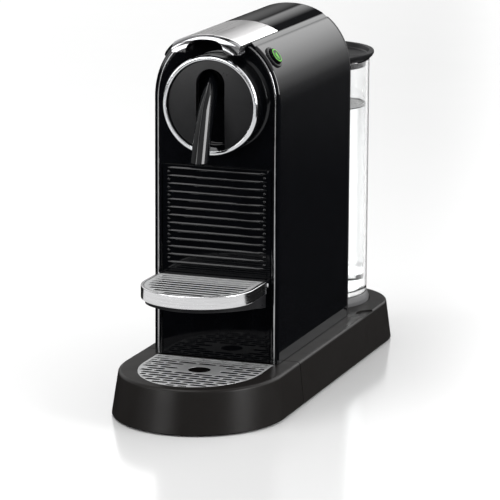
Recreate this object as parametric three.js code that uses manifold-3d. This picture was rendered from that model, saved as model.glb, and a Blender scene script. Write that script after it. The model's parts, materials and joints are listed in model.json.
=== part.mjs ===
// Pod coffee machine. Millimetres, +Z up. X points to the right of someone facing the machine,
// Y points from the drip tray to the water tank. The origin is the centre of the base on the table.
import * as THREE from 'three';
import { mergeVertices } from 'three/addons/utils/BufferGeometryUtils.js';
import Module from 'manifold-3d';

// ---- Driving dimensions ------------------------------------------------------------------------
const GAP = 0.3; // running gap left between neighbouring pieces

const BASE = {
  half: 65, reach: 186, top: 33, foot: 1.2, wall: 2.5,
  frontDepth: 70, rearCorner: 50, // plan: half ellipse in front, rounded corners at the rear
  sideLean: 3.6, frontLean: 7.5, rearLean: 4.4, // how far each side leans in at the top
  splitY: -72, // seam between the pull-out front and the fixed rear
};
const BODY = { half: 49, front: -85, rear: 80, spring: 226, top: 278, power: 2.15, wall: 2.4 };
const SEAM = { strip: 29.3, shell: 29.8 }; // half-widths of the lever strip and of the gap it fills
const TRIM = { outer: 2.7, inner: 4.2 }; // bright line on the front, as insets from the body outline
const WINDOW = { half: 42.8, top: 178.2 }; // opening of the front frame for the pull-out front
const DRUM = { z: 225.2, ring: 36.8, ringIn: 33.5, collar: 36.3, front: -100, back: -92 };
const SLOT = { half: 11, z: 241 }; // recess of the drum face that the spout comes out of
const LEVER = { y: 64, z: 270, thick: 2.4, plateHalf: 25.8, plateRear: -24.6, nose: -110 };
const KNEE = { y: 37, z: 261.5 };
const BREW = { z: 230, radius: 20, cageFront: -43, cageLength: 36, pinY: -20 };
const DUCT_Z = 238; // height of the coffee duct from the brew head into the spout
const DECK = { bottom: 250.8, top: 252.6 };
const BUTTON = { x: 39.3, y: -72, z: 259.1, tilt: 0.946, cap: 6.1, collar: 8.5 };
const TRAY = { half: 46, rear: -87.5, centre: -113, front: -170, floor: 7.5, drainY: -119.5 };
const CUP = { half: 42.6, rear: -94.6, centre: -121, front: -160.5, top: 96.8, bandBottom: 87.5 };
const HINGE = { y: -90.2, z: 93.5 }; // axis that the cup support folds about
const RIB = { pitch: 5.9, count: 13, half: 39.3, depth: 1.2, top: 176.5 };
const BIN = { half: 36, front: -80.6, rear: -12, bottom: 10, top: 110 };
const TANK = { y: 131, radius: 45.5, wall: 2.2, bottom: 40, top: 228, foot: 47.5, lid: 49 };
const RECESS = { radius: 48.2, floor: 26.5 };

const FINE = 40; // sides of a large round piece
const COARSE = 16; // sides of a small round piece
const ARCH_STEPS = 20;

// ---- Materials ---------------------------------------------------------------------------------
function finish(color, roughness, metalness = 0, opacity = 1) {
  return new THREE.MeshStandardMaterial({
    color, roughness, metalness, opacity, transparent: opacity < 1,
  });
}
const gloss = finish(0x070709, 0.08);
const satin = finish(0x111113, 0.32);
const matte = finish(0x262322, 0.5);
const chrome = finish(0xd8d9dc, 0.08, 1);
const silver = finish(0xc9cacd, 0.25, 1);
const steel = finish(0xaeb0b2, 0.3, 1);
const brass = finish(0xb6914c, 0.35, 1);
const rubber = finish(0x1c1c1d, 0.85);
const clear = finish(0xe9eef0, 0.05, 0, 0.3);
const grey = finish(0x9a9da0, 0.4);
const green = finish(0x1d5a35, 0.6);
const white = finish(0xe6e4de, 0.55);

// ---- Solids ------------------------------------------------------------------------------------
const wasm = await Module();
wasm.setup();

function toSolid(geometry) {
  const bare = geometry.clone();
  bare.deleteAttribute('normal');
  bare.deleteAttribute('uv');
  const merged = mergeVertices(bare, 1e-4);
  return new wasm.Manifold(new wasm.Mesh({
    numProp: 3,
    vertProperties: Float32Array.from(merged.attributes.position.array),
    triVerts: Uint32Array.from(merged.index.array),
  }));
}

function toGeometry(solid) {
  const mesh = solid.getMesh();
  const geometry = new THREE.BufferGeometry();
  geometry.setAttribute('position', new THREE.BufferAttribute(mesh.vertProperties, 3));
  geometry.setIndex(new THREE.BufferAttribute(mesh.triVerts, 1));
  geometry.computeVertexNormals();
  return geometry;
}

function cut(body, ...tools) {
  const left = tools.reduce((solid, tool) => solid.subtract(toSolid(tool)), toSolid(body));
  return toGeometry(left);
}

function join(body, ...others) {
  const sum = others.reduce((solid, other) => solid.add(toSolid(other)), toSolid(body));
  return toGeometry(sum);
}

function keep(body, region) {
  return toGeometry(toSolid(body).intersect(toSolid(region)));
}

function box([x0, x1], [y0, y1], [z0, z1]) {
  const geometry = new THREE.BoxGeometry(x1 - x0, y1 - y0, z1 - z0);
  return geometry.translate((x0 + x1) / 2, (y0 + y1) / 2, (z0 + z1) / 2);
}

// A box that is as wide to the left of the middle as to the right.
function wideBox(half, yRange, zRange) {
  return box([-half, half], yRange, zRange);
}

// A rod along one axis; centre gives its place on the other two axes, in the order x, y, z.
function rod(axis, radius, [from, to], centre, sides = COARSE) {
  const geometry = new THREE.CylinderGeometry(radius, radius, to - from, sides);
  const middle = (from + to) / 2;
  if (axis === 'x') return geometry.rotateZ(Math.PI / 2).translate(middle, ...centre);
  if (axis === 'y') return geometry.translate(centre[0], middle, centre[1]);
  return geometry.rotateX(Math.PI / 2).translate(...centre, middle);
}

// A turned piece from a closed profile of [radius, height] pairs, standing on Z.
function turned(profile, sides = FINE) {
  const points = profile.map(([r, h]) => new THREE.Vector2(r, h));
  const onAxis = profile[0][0] === 0 && profile[profile.length - 1][0] === 0;
  if (!onAxis) points.push(points[0].clone());
  return new THREE.LatheGeometry(points, sides).rotateX(Math.PI / 2);
}

function ring(outer, inner, [from, to], sides = FINE) {
  return turned([[inner, from], [outer, from], [outer, to], [inner, to]], sides);
}

// Turns a piece made on Z so that its height runs along +Y, about an axis at height z.
function alongY(geometry, z, x = 0) {
  return geometry.rotateX(-Math.PI / 2).translate(x, 0, z);
}

const ALONG_X = new THREE.Matrix4().makeBasis(
  new THREE.Vector3(0, 1, 0), new THREE.Vector3(0, 0, 1), new THREE.Vector3(1, 0, 0));
const ALONG_Y = new THREE.Matrix4().makeBasis(
  new THREE.Vector3(1, 0, 0), new THREE.Vector3(0, 0, 1), new THREE.Vector3(0, -1, 0));

// Extrudes an outline: a YZ outline along X, an XZ outline along Y, or an XY outline along Z.
function slab(shape, axis, [from, to]) {
  const geometry = new THREE.ExtrudeGeometry(shape, { depth: to - from, bevelEnabled: false });
  if (axis === 'x') return geometry.applyMatrix4(ALONG_X).translate(from, 0, 0);
  if (axis === 'y') return geometry.applyMatrix4(ALONG_Y).translate(0, to, 0);
  return geometry.translate(0, 0, from);
}

function outline(points) {
  return new THREE.Shape(points.map(([u, v]) => new THREE.Vector2(u, v)));
}

// A hose or duct: a round section swept along a smooth curve through the points.
function tube(points, radius, steps = 14) {
  const path = new THREE.CatmullRomCurve3(points.map((p) => new THREE.Vector3(...p)));
  const section = new THREE.Shape();
  section.absarc(0, 0, radius, 0, 2 * Math.PI);
  return new THREE.ExtrudeGeometry(section, { extrudePath: path, steps, curveSegments: 5 });
}

// ---- Shared outlines ---------------------------------------------------------------------------
// Points of the body's front view, from the right foot over the rounded top to the left foot.
function archPoints(inset, foot) {
  const half = BODY.half - inset;
  const rise = BODY.top - BODY.spring - inset;
  const points = [[half, foot]];
  for (let i = 0; i <= ARCH_STEPS; i++) {
    const angle = Math.PI * i / ARCH_STEPS;
    const across = Math.abs(Math.cos(angle)) ** (2 / BODY.power) * Math.sign(Math.cos(angle));
    const up = Math.abs(Math.sin(angle)) ** (2 / BODY.power);
    points.push([half * across, BODY.spring + rise * up]);
  }
  points.push([-half, foot]);
  return points;
}

function archBand(outer, inner, foot) {
  return outline([...archPoints(outer, foot), ...archPoints(inner, foot).reverse()]);
}

// Plan of the base, pulled in by an inset.
function basePlan(inset = 0) {
  const shape = new THREE.Shape();
  const half = BASE.half - inset;
  const corner = BASE.rearCorner - inset;
  const frontY = -BASE.reach + BASE.frontDepth;
  const cornerX = half - corner;
  const cornerY = BASE.reach - BASE.rearCorner;
  shape.absellipse(0, frontY, half, BASE.frontDepth - inset, Math.PI, 2 * Math.PI);
  shape.absarc(cornerX, cornerY, corner, 0, Math.PI / 2);
  shape.absarc(-cornerX, cornerY, corner, Math.PI / 2, Math.PI);
  return shape;
}

// Leans the sides of a piece of the base inwards with height.
function lean(geometry) {
  const position = geometry.attributes.position;
  for (let i = 0; i < position.count; i++) {
    const height = Math.max(position.getZ(i), 0) / BASE.top;
    const y = position.getY(i);
    const lengthLean = y < 0 ? BASE.frontLean : BASE.rearLean;
    position.setX(i, position.getX(i) * (1 - BASE.sideLean / BASE.half * height));
    position.setY(i, y * (1 - lengthLean / BASE.reach * height));
  }
  return geometry;
}

// Plan with a straight rear edge, straight sides and a half-round front.
function dPlan({ half, rear, centre, front }, inset = 0) {
  const shape = new THREE.Shape();
  shape.moveTo(half - inset, rear);
  shape.lineTo(-half + inset, rear);
  shape.absellipse(0, centre, half - inset, centre - front - inset, Math.PI, 2 * Math.PI);
  return shape;
}

// ---- The object --------------------------------------------------------------------------------
const machine = new THREE.Group();

function place(name, geometry, material, parent = machine) {
  const mesh = new THREE.Mesh(geometry, material);
  mesh.name = name;
  parent.add(mesh);
}

const SIDES = [['left', -1], ['right', 1]];

function mirrored([from, to], side) {
  return side > 0 ? [from, to] : [-to, -from];
}

function baseShell() {
  const outer = lean(slab(basePlan(), 'z', [BASE.foot, BASE.top]));
  const inner = lean(slab(basePlan(BASE.wall), 'z', [BASE.foot - 1, BASE.top - BASE.wall]));
  return cut(outer, inner);
}

function addBase() {
  const shell = baseShell();
  const rearHalf = wideBox(80, [BASE.splitY + GAP / 2, 200], [-1, 40]);
  const well = turned([[0, 24.3], [RECESS.radius + 2, 24.3], [RECESS.radius + 2, 32], [0, 32]]);
  const wellSpace = rod('z', RECESS.radius, [RECESS.floor, 40], [0, TANK.y], FINE);
  const rearShell = join(keep(shell, rearHalf), well.translate(0, TANK.y, 0));
  const bodyOpening = wideBox(44.3, [-80, 74], [20, 40]);
  const spigotHole = rod('z', 5.4, [20, 30], [0, TANK.y]);
  const glandHole = rod('y', 6.4, [170, 190], [0, 13]);
  const fingerScoops = SIDES.map(([, side]) => (
    rod('z', 14, [BASE.top - 1.2, 40], [side * 66, 93], FINE)));
  place('base_frame',
    cut(rearShell, wellSpace, bodyOpening, spigotHole, glandHole, ...fingerScoops), matte);
  place('chassis_floor', slab(basePlan(7), 'z', [1.9, 4.4]), steel);
  for (const [row, y, x] of [['front', -120, 44], ['rear', 138, 38]]) {
    for (const [name, side] of SIDES) {
      place(`foot_${row}_${name}`, rod('z', 8, [0, 1.6], [side * x, y]), rubber);
    }
  }
  const gland = turned([[3.6, -5], [7.8, -5], [7.8, -2.8], [6.1, -2.8], [6.1, 5], [3.6, 5]], COARSE);
  place('cord_gland', alongY(gland, 13).translate(0, 178.6, 0), rubber);
}

function addShells() {
  const depth = [BODY.front, BODY.rear - 2.8];
  const foot = BASE.top + GAP;
  const skin = slab(archBand(0, BODY.wall, foot), 'y', depth);
  for (const [name, side] of SIDES) {
    const region = box(mirrored([SEAM.shell, 60], side), [-100, 100], [0, 300]);
    const hole = rod('z', BUTTON.collar + GAP, [-12, 12], [0, 0], FINE);
    hole.rotateY(side * BUTTON.tilt).translate(side * BUTTON.x, BUTTON.y, BUTTON.z);
    place(`${name}_side_shell`, cut(keep(skin, region), hole), gloss);
  }
}

function addFront() {
  const foot = BASE.top + GAP;
  place('front_trim',
    slab(archBand(TRIM.outer, TRIM.inner, foot), 'y', [BODY.front - 0.6, -81]), chrome);
  const frame = slab(outline(archPoints(TRIM.inner + GAP, foot)), 'y', [BODY.front, -82]);
  const window = wideBox(WINDOW.half, [-100, 0], [0, WINDOW.top]);
  const neckHole = rod('y', 25.2, [-100, 0], [0, DRUM.z], FINE);
  place('front_frame', cut(frame, window, neckHole), gloss);
}

function addRear() {
  const cover = slab(outline(archPoints(0, BASE.top + GAP)), 'y', [BODY.rear - 2.5, BODY.rear]);
  const notch = wideBox(SEAM.shell, [0, 100], [259.5, 300]);
  const vents = [];
  for (let i = 0; i < 7; i++) {
    const z = 110 + 9 * i;
    vents.push(wideBox(24, [0, 100], [z, z + 3]));
  }
  const screws = SIDES.map(([name, side]) => [name, [side * 38, 62]]);
  const seats = screws.map(([, at]) => rod('y', 3.6, [78.6, 90], at));
  place('rear_cover', cut(cover, notch, ...vents, ...seats), satin);
  for (const [name, at] of screws) place(`rear_screw_${name}`, rod('y', 3.2, [78.9, 79.8], at), steel);
}

function addDrum() {
  const { z, collar, ring: ringOuter, ringIn, front, back } = DRUM;
  const collarProfile = [
    [0, -84], [0, -86], [30, -86], [30, back + GAP], [collar, back + GAP],
    [collar, BODY.front - GAP], [24.8, BODY.front - GAP], [24.8, -78], [22.8, -78], [22.8, -84], [0, -84],
  ];
  const ductHole = rod('y', 5.4, [-90, -80], [0, DUCT_Z]);
  place('drum_collar', cut(alongY(turned(collarProfile), z), ductHole), satin);
  place('chrome_ring', alongY(ring(ringOuter, ringIn, [front, back]), z), chrome);
  const face = rod('y', ringIn - GAP, [front + 1.5, back], [0, z], FINE);
  const recess = wideBox(SLOT.half, [-110, 0], [0, SLOT.z]);
  const recessTop = rod('y', SLOT.half, [-110, 0], [0, SLOT.z], FINE);
  place('drum_face', cut(face, recess, recessTop), satin);
}

// The spout: its side view fixes how it arches forward, its front view how it widens to the tip.
function addSpout() {
  const side = new THREE.Shape();
  side.moveTo(-86.4, 248);
  side.bezierCurveTo(-101, 252, -112, 240, -128.5, 187);
  side.lineTo(-114.5, 187);
  side.bezierCurveTo(-108, 214, -99, 230, -86.4, 231);
  const front = outline([[-4.8, 255], [-6.9, 183], [6.9, 183], [4.8, 255]]);
  place('spout', keep(slab(side, 'x', [-8, 8]), slab(front, 'y', [-130, -84])), gloss);
}

function addDeck() {
  const plate = wideBox(28.9, [-81.5, 60], [DECK.bottom, DECK.top]);
  const tail = wideBox(20, [59, 77.2], [DECK.bottom, DECK.top]);
  const walls = SIDES.map(([, side]) => (
    box(mirrored([27.6, 28.9], side), [-81.5, 60], [DECK.bottom, 263.6])));
  const bracket = new THREE.Shape();
  bracket.moveTo(54, DECK.bottom + 1);
  bracket.lineTo(62, DECK.bottom + 1);
  bracket.lineTo(LEVER.y + 4, LEVER.z);
  bracket.absarc(LEVER.y, LEVER.z, 4, 0, Math.PI);
  const lanes = SIDES.map(([, side]) => (
    box(mirrored([20.4, 27.2], side), [-27, 61], [DECK.bottom - 1, DECK.top + 1])));
  const capsuleSlot = wideBox(17.5, [-42, -14], [DECK.bottom - 1, DECK.top + 1]);
  const pinHole = rod('x', 2.2, [-20, 20], [LEVER.y, LEVER.z]);
  const deck = join(plate, tail, ...walls, slab(bracket, 'x', [-8, 8]));
  place('top_deck', cut(deck, ...lanes, capsuleSlot, pinHole), satin);
  place('lever_pin', rod('x', 1.9, [-12.2, 12.2], [LEVER.y, LEVER.z]), steel);
}

function bar(from, to, radius) {
  const angle = Math.atan2(to[1] - from[1], to[0] - from[0]);
  const shape = new THREE.Shape();
  shape.absarc(...from, radius, angle + Math.PI / 2, angle + 1.5 * Math.PI);
  shape.absarc(...to, radius, angle - Math.PI / 2, angle + Math.PI / 2);
  return shape;
}

function addLever() {
  const skin = slab(archBand(0, LEVER.thick, 200), 'y', [LEVER.nose + 14, BODY.rear - 0.4]);
  const overBody = wideBox(SEAM.strip, [BODY.front + GAP, 100], [250, 300]);
  const neck = wideBox(LEVER.plateHalf, [LEVER.nose + 14 + GAP, BODY.front + 1], [250, 300]);
  const end = keep(slab(outline(archPoints(0, 200)), 'y', [77.4, BODY.rear - 0.4]),
    wideBox(SEAM.strip, [0, 100], [264, 300]));
  const ears = SIDES.map(([, side]) => (
    slab(bar([LEVER.y, LEVER.z], [LEVER.y, LEVER.z + 2], 4), 'x', mirrored([8.5, 12], side))));
  const arms = SIDES.map(([, side]) => join(
    slab(bar([KNEE.y, KNEE.z], [KNEE.y + 12, KNEE.z + 2.4], 4), 'x', mirrored([24, 26.8], side)),
    box(mirrored([24, 26.8], side), [KNEE.y - 2, KNEE.y + 16], [KNEE.z, 269.5])));
  const pocket = keep(slab(archBand(-1, 1.4, 200), 'y', [-120, LEVER.plateRear]),
    wideBox(LEVER.plateHalf + GAP, [-120, 0], [250, 300]));
  const pinHole = rod('x', 2.2, [-20, 20], [LEVER.y, LEVER.z]);
  const kneeHoles = SIDES.map(([, side]) => (
    rod('x', 2.1, mirrored([23.6, 28], side), [KNEE.y, KNEE.z])));
  const strip = join(keep(skin, overBody), keep(skin, neck), end, ...ears, ...arms);
  place('lever_strip', cut(strip, pocket, pinHole, ...kneeHoles), gloss);

  const plate = slab(archBand(0, 1.1, 200), 'y', [LEVER.nose, LEVER.plateRear - GAP]);
  place('lever_plate', keep(plate, wideBox(LEVER.plateHalf, [-120, 0], [250, 300])), silver);

  const grip = slab(outline(archPoints(1.4, 200)), 'y', [LEVER.nose, LEVER.nose + 14]);
  const fingerSpace = slab(outline([
    [-15.5, 260], [-15.5, 270.5], [-12, 273.8], [12, 273.8], [15.5, 270.5], [15.5, 260],
  ]), 'y', [-130, -90]);
  place('lever_grip',
    cut(keep(grip, wideBox(LEVER.plateHalf, [-130, -90], [265, 300])), fingerSpace), chrome);

  for (const [name, side] of SIDES) {
    const link = slab(bar([KNEE.y, KNEE.z], [BREW.pinY, BREW.z], 3.6), 'x',
      mirrored([20.9, 23.3], side));
    const pin = rod('x', 1.8, mirrored([23, 26.5], side), [KNEE.y, KNEE.z]);
    place(`toggle_link_${name}`, join(link, pin), steel);
  }
}

function addBrewUnit() {
  const head = rod('y', BREW.radius, [-70, -46.2], [0, BREW.z], FINE);
  const duct = rod('y', 5, [-85.7, -69], [0, DUCT_Z]);
  place('brew_head', join(head, duct), satin);
  place('piercing_plate', rod('y', 16, [-45.9, -44.4], [0, BREW.z], FINE), steel);

  const cageRear = BREW.cageFront + BREW.cageLength;
  const cup = rod('y', BREW.radius, [BREW.cageFront, cageRear], [0, BREW.z], FINE);
  const cavity = rod('y', 15.2, [BREW.cageFront - 5, cageRear - 10], [0, BREW.z], FINE);
  const trunnion = rod('x', 3.5, [-20.6, 20.6], [BREW.pinY, BREW.z]);
  const shoe = wideBox(6, [BREW.pinY - 10, BREW.pinY + 8], [204.5, 212]);
  const railHole = rod('y', 2.8, [-60, 20], [0, 207.6]);
  place('capsule_cage', cut(join(cup, trunnion, shoe), cavity, railHole), satin);
  place('guide_rail', rod('y', 2.4, [-60, 44], [0, 207.6]), steel);

  for (const [name, side] of SIDES) {
    place(`brew_frame_${name}`, box(mirrored([29.9, 31.6], side), [-68, 66], [206, 249]), steel);
  }
  const chute = wideBox(20.5, [-44, -6], [118, 202.5]);
  place('capsule_chute', cut(chute, wideBox(19, [-42.5, -7.5], [100, 220])), satin);
}

function addPlumbing() {
  place('bulkhead', wideBox(43.5, [-3.2, -1.2], [12, 202]), satin);

  const block = wideBox(27, [6, 58], [126, 190]);
  const grooves = [];
  for (let i = 0; i < 5; i++) {
    const z = 134 + 11 * i;
    grooves.push(wideBox(30, [0, 11], [z, z + 5]));
  }
  place('thermoblock', cut(block, ...grooves), silver);

  const pumpAt = [-14, 72];
  const barrel = rod('y', 15, [14, 66], pumpAt, 32);
  const nozzle = rod('y', 5, [64, 72], pumpAt);
  place('pump', join(barrel, nozzle), brass);
  place('pump_damper', alongY(ring(21, 15 + GAP, [24, 30], 32), pumpAt[1], pumpAt[0]), rubber);
  place('flow_meter', rod('z', 12, [44, 62], [22, 44], 28), white);

  const board = box([40.6, 42.2], [4, 68], [76, 168]);
  const relay = box([33, 41], [12, 30], [90, 112]);
  const transformer = box([29, 41], [38, 62], [82, 106]);
  place('control_board', join(board, relay, transformer), green);

  place('supply_hose', tube([
    [0, TANK.y, 17.6], [4, 118, 14], [12, 96, 13], [19, 72, 18], [22, 52, 26], [22, 44, 36], [22, 44, 43],
  ], 3.2), clear);
  place('pressure_hose', tube([
    [-14, 10, 72], [-16, 5, 84], [-20, 6, 100], [-19, 20, 110], [-18, 26, 118], [-18, 26, 125],
  ], 3), white);
  place('water_spigot', ring(5, 2, [21.6, 37.4], COARSE).translate(0, TANK.y, 0), grey);
}

function addButtons() {
  const { x, y, z, tilt, cap, collar } = BUTTON;
  for (const [name, side] of SIDES) {
    const seat = new THREE.Group();
    seat.position.set(side * x, y, z);
    seat.rotation.y = side * tilt;
    machine.add(seat);
    place(`button_collar_${name}`, ring(collar, cap + GAP, [-5.4, 1], 32), satin, seat);
    place(name === 'left' ? 'lungo_button' : 'espresso_button',
      rod('z', cap, [-5, 3.4], [0, 0], 28), satin, seat);
    place(`button_switch_${name}`, box([-2.6, 2.6], [-5, 5], [-9.4, -6.9]), white, seat);
  }
}

function addDripTray() {
  const shell = baseShell();
  const frontHalf = wideBox(80, [-200, BASE.splitY - GAP / 2], [-1, 40]);
  const tubPlan = { ...TRAY, rear: -85.2 };
  const tub = slab(dPlan(tubPlan, -2), 'z', [TRAY.floor - 2.2, BASE.top - 1]);
  const tubSpace = slab(dPlan({ ...TRAY, rear: -88.5 }, 1.8), 'z', [TRAY.floor, 40]);
  const seat = slab(dPlan({ ...TRAY, rear: TRAY.rear + GAP }, -GAP), 'z', [30, 40]);
  const tongue = wideBox(39, [-90, -14], [5.4, 9.6]);
  const behindPanel = wideBox(44.3, [-85, 0], [9.8, 40]);
  const tray = join(keep(shell, frontHalf), tub);
  place('drip_tray', join(cut(tray, tubSpace, seat, behindPanel), tongue), matte);

  const grid = slab(dPlan(TRAY), 'z', [30.3, BASE.top]);
  place('drip_grid', cut(grid, rod('z', 8.3, [20, 40], [0, TRAY.drainY], 28)), steel);
}

function addPullOutFront() {
  const profile = [[-81, BASE.top + GAP], [-81, 178], [BODY.front, 178]];
  for (let i = 0; i < RIB.count; i++) {
    const z = RIB.top - RIB.pitch * i;
    profile.push([BODY.front, z], [BODY.front - RIB.depth, z - 0.8]);
    profile.push([BODY.front - RIB.depth, z - 2.6], [BODY.front, z - 3.4]);
  }
  profile.push([BODY.front, BASE.top + GAP]);
  const ribbed = slab(outline(profile.reverse()), 'x', [-RIB.half, RIB.half]);
  const sheet = wideBox(42.4, [BODY.front + 0.4, -81], [BASE.top + GAP, 178]);
  const lugs = SIDES.map(([, side]) => (
    slab(bar([HINGE.y, HINGE.z], [-85, HINGE.z], 3.2), 'x', mirrored([39.9, 42.2], side))));
  const pinHole = rod('x', 1.8, [-60, 60], [HINGE.y, HINGE.z]);
  place('ribbed_front', cut(join(ribbed, sheet, ...lugs), pinHole), gloss);

  const bin = wideBox(BIN.half, [BIN.front, BIN.rear], [BIN.bottom, BIN.top]);
  const space = wideBox(BIN.half - 2, [BIN.front + 2, BIN.rear - 2], [BIN.bottom + 2, 200]);
  place('capsule_bin', cut(bin, space), satin);
}

function addCupSupport() {
  const tray = slab(dPlan({ ...CUP, rear: -86.7 }, 3.1), 'z', [74, 92.2]);
  const underside = slab(outline([
    [-200, 60], [-200, 84], [-150, 84], [-96, 75.5], [-80, 74], [-80, 60],
  ]), 'x', [-60, 60]);
  const traySpace = slab(dPlan(CUP, 5), 'z', [86.5, 100]);
  const pinHole = rod('x', 1.8, [-60, 60], [HINGE.y, HINGE.z]);
  const barrel = wideBox(39.5, [-94.2, -86.7], [86, CUP.top]);
  place('cup_tray', cut(join(tray, barrel), underside, traySpace, pinHole), satin);
  place('cup_hinge_pin', rod('x', 1.5, [-42.4, 42.4], [HINGE.y, HINGE.z]), steel);

  const band = slab(dPlan(CUP), 'z', [CUP.bandBottom, CUP.top + 0.3]);
  const bandSpace = slab(dPlan({ ...CUP, rear: -80 }, 2.2), 'z', [80, 100]);
  place('cup_band', cut(band, bandSpace), chrome);

  const grid = slab(dPlan(CUP, 2.5), 'z', [92.5, CUP.top]);
  const slots = [];
  for (let i = 0; i < 8; i++) {
    const y = -97.5 - 7 * i;
    const half = i < 5 ? 33 : 33 - 5 * (i - 4);
    slots.push(wideBox(half, [y - 3.2, y], [90, 100]));
  }
  place('cup_grid', cut(grid, ...slots), steel);
}

function addTank() {
  const { y, radius, wall, bottom, top, foot, lid } = TANK;
  const inner = radius - wall;
  const standing = (geometry) => geometry.translate(0, y, 0);
  const wallProfile = [
    [4, bottom], [radius, bottom], [radius, top], [inner, top], [inner, bottom + 3], [4, bottom + 3],
  ];
  place('tank_wall', standing(turned(wallProfile)), clear);
  place('tank_foot', standing(ring(foot, 38, [RECESS.floor + GAP, bottom - GAP])), grey);
  const valveProfile = [[0, 38], [3.2, 38], [3.2, 46.4], [7, 46.4], [7, 49], [0, 49]];
  place('tank_valve', standing(turned(valveProfile, COARSE)), grey);
  const rim = top + GAP;
  const lidProfile = [
    [0, rim], [inner - 3, rim], [inner - 3, top - 9], [inner - 0.4, top - 9], [inner - 0.4, rim],
    [lid, rim], [lid, top + 7], [lid - 3.5, top + 7], [lid - 4.5, top + 3], [0, top + 3],
  ];
  place('tank_lid', standing(turned(lidProfile)), satin);
}

addBase();
addShells();
addFront();
addRear();
addDrum();
addSpout();
addDeck();
addLever();
addBrewUnit();
addPlumbing();
addButtons();
addDripTray();
addPullOutFront();
addCupSupport();
addTank();

export default machine;
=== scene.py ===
"""Visual model of a pod coffee machine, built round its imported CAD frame. Metres, +Z up, tank at +Y."""
import json
import math

import bmesh
import bpy
from mathutils import Matrix, Vector


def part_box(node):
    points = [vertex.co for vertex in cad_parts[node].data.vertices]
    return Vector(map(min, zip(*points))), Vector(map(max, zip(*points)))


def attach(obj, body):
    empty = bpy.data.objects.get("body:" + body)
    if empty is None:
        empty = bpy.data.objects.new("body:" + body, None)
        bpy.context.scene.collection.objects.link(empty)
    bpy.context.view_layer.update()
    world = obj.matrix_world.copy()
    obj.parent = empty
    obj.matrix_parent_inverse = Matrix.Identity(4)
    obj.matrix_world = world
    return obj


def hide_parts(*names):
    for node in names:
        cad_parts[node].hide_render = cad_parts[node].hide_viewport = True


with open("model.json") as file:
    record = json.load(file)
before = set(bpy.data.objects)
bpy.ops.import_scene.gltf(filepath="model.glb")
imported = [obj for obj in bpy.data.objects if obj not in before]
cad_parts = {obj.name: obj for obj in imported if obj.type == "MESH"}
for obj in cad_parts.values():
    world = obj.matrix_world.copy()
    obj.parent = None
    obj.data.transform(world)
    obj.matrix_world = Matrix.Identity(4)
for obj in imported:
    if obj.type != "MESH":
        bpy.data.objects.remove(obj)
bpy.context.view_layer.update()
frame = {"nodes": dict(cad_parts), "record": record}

MM = 0.001
TAU = 2 * math.pi

# ---- Sizes taken from the frame ----------------------------------------------------------------
SHELL_LOW, SHELL_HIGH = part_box("right_side_shell")
BODY_HALF = SHELL_HIGH.x
BODY_FOOT = SHELL_LOW.z
BODY_FRONT = SHELL_LOW.y
SHELL_REAR = SHELL_HIGH.y
SEAM_SHELL = SHELL_LOW.x  # half-width of the gap that the lever strip fills
BODY_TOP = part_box("lever_plate")[1].z
SPRING = 226 * MM  # height where the body's sides turn into its rounded top
POWER = 2.15  # how square the rounded top is
SHELL_WALL = 2.4 * MM
TRIM_OUTER = 2.75 * MM
TRIM_INNER = 4.15 * MM
FRAME_INSET = 4.5 * MM

STRIP_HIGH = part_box("lever_strip")[1]
STRIP_HALF = STRIP_HIGH.x
PLATE_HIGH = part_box("lever_plate")[1]
GRIP_LOW, GRIP_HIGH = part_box("lever_grip")
RING_LOW, RING_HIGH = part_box("chrome_ring")
DRUM_Z = (RING_LOW.z + RING_HIGH.z) / 2
RING_R = RING_HIGH.x
SLOT_HALF = 11 * MM  # the round-topped recess that the spout comes out of
SLOT_TOP_Z = 241 * MM
NOSE_Y = -103.4 * MM  # where the silver plate ends and the grip's rounded nose starts
PIVOT_Y, PIVOT_Z = 64 * MM, 270 * MM  # the lever's pin
KNEE_Y, KNEE_Z = 37 * MM, 261.5 * MM  # the pins between the lever and its toggle links
BUTTON_TILT = 0.946  # how far a key's face leans out from straight up

BASE_HALF = 65 * MM
BASE_REACH = 186 * MM
BASE_TOP = 33 * MM
BASE_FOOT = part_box("base_frame")[0].z
SPLIT_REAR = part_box("base_frame")[0].y
BAY_HALF = 44.3 * MM  # the base is open this far to each side under the body
TRAY_GRID_LOW, TRAY_GRID_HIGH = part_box("drip_grid")
BAND_LOW, BAND_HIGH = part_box("cup_band")
TRAY = dict(half=TRAY_GRID_HIGH.x, centre=-113 * MM, front=TRAY_GRID_LOW.y)
CUP = dict(half=BAND_HIGH.x, centre=-121 * MM, front=BAND_LOW.y)
DRAIN_Y = -119.5 * MM
HINGE_Y, HINGE_Z = -90.2 * MM, 93.5 * MM  # the cup support's pin
PANEL_Y = -85 * MM  # face of the pull-out front, which its ribs stand on
TANK_LOW, TANK_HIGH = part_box("tank_wall")
TANK_Y = (TANK_LOW.y + TANK_HIGH.y) / 2
TANK_R = TANK_HIGH.x
LID_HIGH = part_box("tank_lid")[1]


# ---- Materials ---------------------------------------------------------------------------------
def set_sockets(node, values):
    for socket, value in values.items():
        node.inputs[socket.replace("_", " ")].default_value = value


def add_node(nodes, kind, **values):
    node = nodes.new(kind)
    set_sockets(node, values)
    return node


def add_ramp(nodes, stops):
    """A colour ramp from (position, colour) pairs."""
    ramp = nodes.new("ShaderNodeValToRGB")
    elements = ramp.color_ramp.elements
    while len(elements) < len(stops):
        elements.new(0.5)
    for element, (position, color) in zip(elements, stops):
        element.position = position
        element.color = (*color, 1)
    return ramp


def new_material(name, color, metallic=0.0, **sockets):
    material = bpy.data.materials.new(name)
    material.use_nodes = True
    sockets.update(Base_Color=(*color, 1), Metallic=metallic)
    set_sockets(material.node_tree.nodes["Principled BSDF"], sockets)
    return material


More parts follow.
